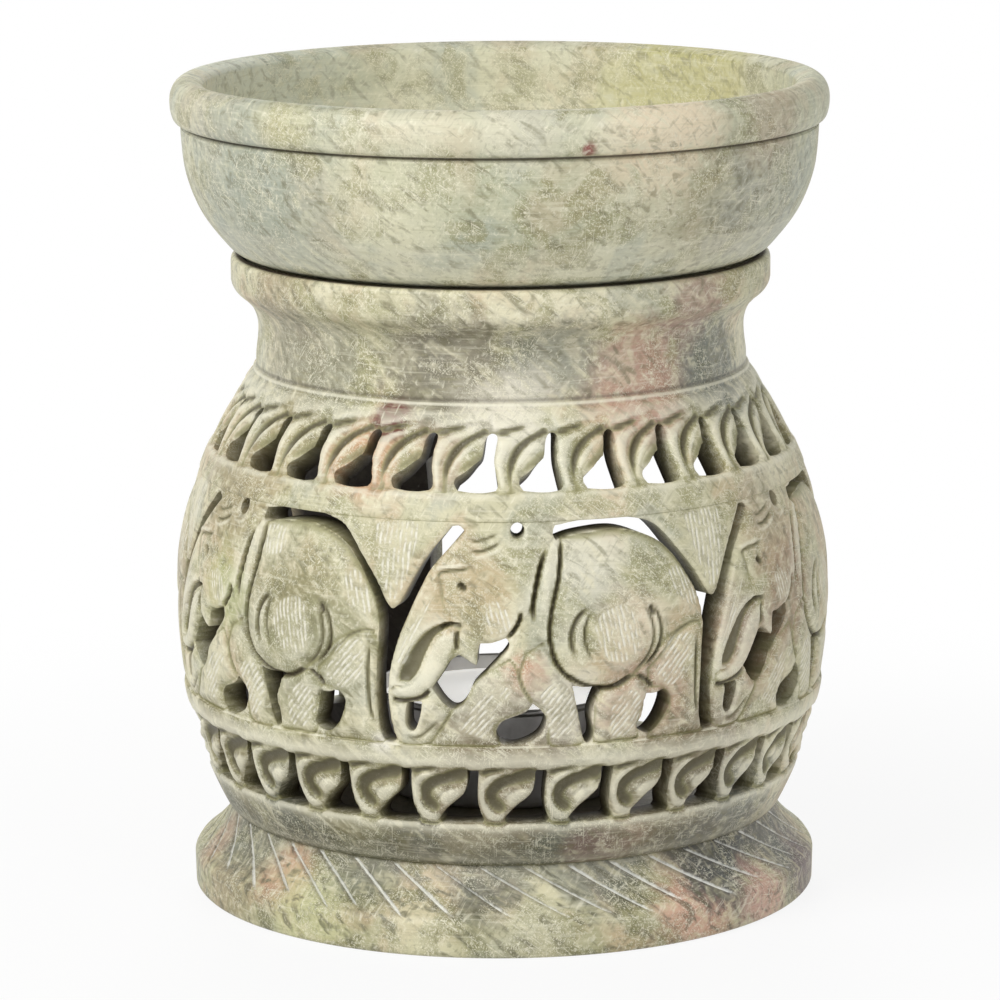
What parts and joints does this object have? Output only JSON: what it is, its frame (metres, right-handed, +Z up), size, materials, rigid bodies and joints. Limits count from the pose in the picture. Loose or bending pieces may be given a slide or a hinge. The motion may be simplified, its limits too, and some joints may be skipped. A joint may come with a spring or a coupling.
{
  "type": "essential oil burner",
  "caption": "Turned soapstone oil burner: a lift-off bowl on a pierced pot with elephant and leaf fretwork, on a foot, warmed by a tealight.",
  "frame": {"origin": "middle of the foot's underside, on the ground", "axes": "+Z up along the turning axis, +Y out of the doorway behind, so the carved front faces -Y"},
  "size_m": [0.0966, 0.0962, 0.12],
  "materials": {
    "bowl_stone": "smooth turned soapstone, oiled",
    "pot_stone": "smooth soapstone with scratched hatching",
    "foot_stone": "smooth turned soapstone with engraved lines",
    "cup_metal": "thin drawn aluminium",
    "candle_wax": "white paraffin wax",
    "wick_cotton": "waxed cotton",
    "sustainer_metal": "pressed tinplate"
  },
  "bodies": {
    "burner": {"pierced_pot": "pot_stone", "foot": "foot_stone"},
    "bowl": {"bowl": "bowl_stone"},
    "tealight": {"tealight_cup": "cup_metal", "wax": "candle_wax", "wick": "wick_cotton", "wick_sustainer": "sustainer_metal"}
  },
  "joints": [
    {"name": "bowl_lift", "type": "slide", "parent": "burner", "child": "bowl", "axis": [0, 0, 1], "range_m": [0, 0.06]},
    {"name": "tealight_slide", "type": "slide", "parent": "burner", "child": "tealight", "axis": [0, 1, 0], "range_m": [0, 0.08]}
  ]
}
